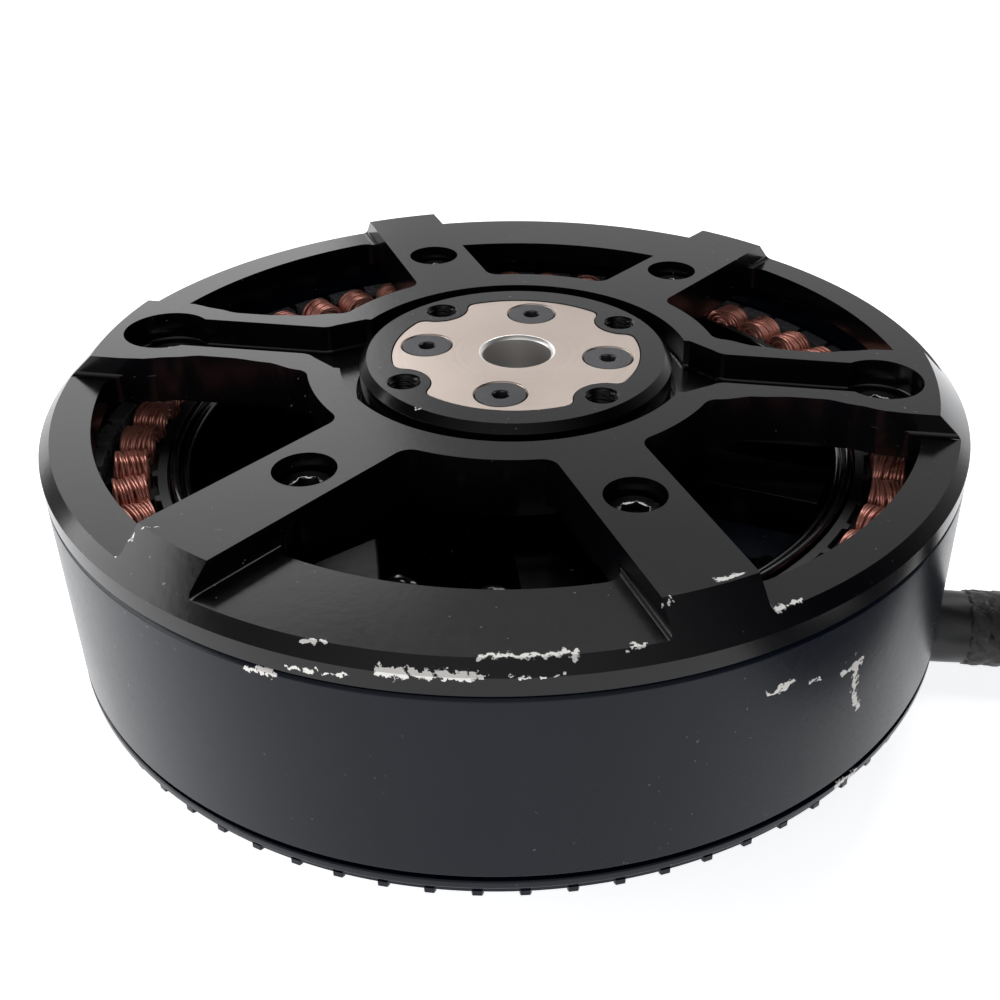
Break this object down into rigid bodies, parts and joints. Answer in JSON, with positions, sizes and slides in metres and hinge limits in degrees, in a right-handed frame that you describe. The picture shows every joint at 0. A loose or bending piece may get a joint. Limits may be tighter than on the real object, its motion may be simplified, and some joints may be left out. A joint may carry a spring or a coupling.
{
  "type": "brushless outrunner motor",
  "caption": "Flat outrunner motor: a spoked rotor with a magnet ring spins round a wound stator on a finned base and turns a propeller; its power cable leaves the base.",
  "frame": {"origin": "on the spin axis, in the mounting face that the motor stands on", "axes": "+Z along the spin axis, up towards the propeller face; +X along a pocket arm of the rotor, close to the way in which the cable leaves"},
  "size_m": [0.3275, 0.2138, 0.0604],
  "materials": {
    "cover_black": "black hard anodised, satin gloss, worn on the edges",
    "carrier_black": "black anodised, glossy",
    "ring_black": "dark blue-grey paint, semi-gloss, chipped on the edges",
    "magnet": "nickel plated",
    "bare_steel": "fine turned, bare, champagne tint",
    "plate_screw": "dark grey phosphated",
    "black_screw": "black oxide, oily gloss",
    "bearing_steel": "ground and polished",
    "core_steel": "laminated sheet steel, dark coated",
    "insulator": "moulded, matt",
    "copper": "enamelled copper wire, glossy",
    "lead_sleeve": "glossy black sleeve",
    "cable_shrink": "smooth heat-shrunk sleeve, semi-gloss",
    "cable_braid": "black braided sleeve, matt",
    "plug_plastic": "moulded, fine texture",
    "contact_brass": "gold plated"
  },
  "bodies": {
    "stator": {"base_plate": "ring_black", "stator_carrier": "carrier_black", "bearing_housing": "carrier_black", "stator_core": "core_steel", "upper_insulator": "insulator", "lower_insulator": "insulator", "winding_a": "copper", "winding_b": "copper", "winding_c": "copper", "phase_splice_a": "lead_sleeve", "phase_splice_b": "lead_sleeve", "phase_splice_c": "lead_sleeve", "phase_lead_a": "lead_sleeve", "phase_lead_b": "lead_sleeve", "phase_lead_c": "lead_sleeve", "upper_bearing_outer_race": "bearing_steel", "upper_bearing_balls": "bearing_steel", "lower_bearing_outer_race": "bearing_steel", "lower_bearing_balls": "bearing_steel", "preload_washer": "bearing_steel", "base_screw_1": "black_screw", "base_screw_2": "black_screw", "base_screw_3": "black_screw", "base_screw_4": "black_screw", "base_screw_5": "black_screw", "base_screw_6": "black_screw", "cable_boot": "cable_shrink", "cable": "cable_braid", "cable_coil": "cable_braid", "cable_tail": "cable_braid", "coil_tie": "plug_plastic", "connector_housing": "plug_plastic", "connector_contact_1": "contact_brass", "connector_contact_2": "contact_brass", "connector_contact_3": "contact_brass"},
    "rotor": {"bell_cover": "cover_black", "flux_ring": "ring_black", "magnet_ring": "magnet", "rotor_hub": "cover_black", "flanged_shaft": "bare_steel", "hub_screw_1": "plate_screw", "hub_screw_2": "plate_screw", "hub_screw_3": "plate_screw", "hub_screw_4": "plate_screw", "spoke_screw_1": "black_screw", "spoke_screw_2": "black_screw", "spoke_screw_3": "black_screw", "spoke_screw_4": "black_screw", "pocket_screw_1": "black_screw", "pocket_screw_2": "black_screw", "upper_bearing_inner_race": "bearing_steel", "lower_bearing_inner_race": "bearing_steel", "bearing_spacer": "bearing_steel", "shaft_circlip": "black_screw"}
  },
  "joints": [
    {"name": "rotor_spin", "type": "hinge", "parent": "stator", "child": "rotor", "pos_m": [0, 0, 0.04], "axis": [0, 0, 1], "continuous": true}
  ]
}
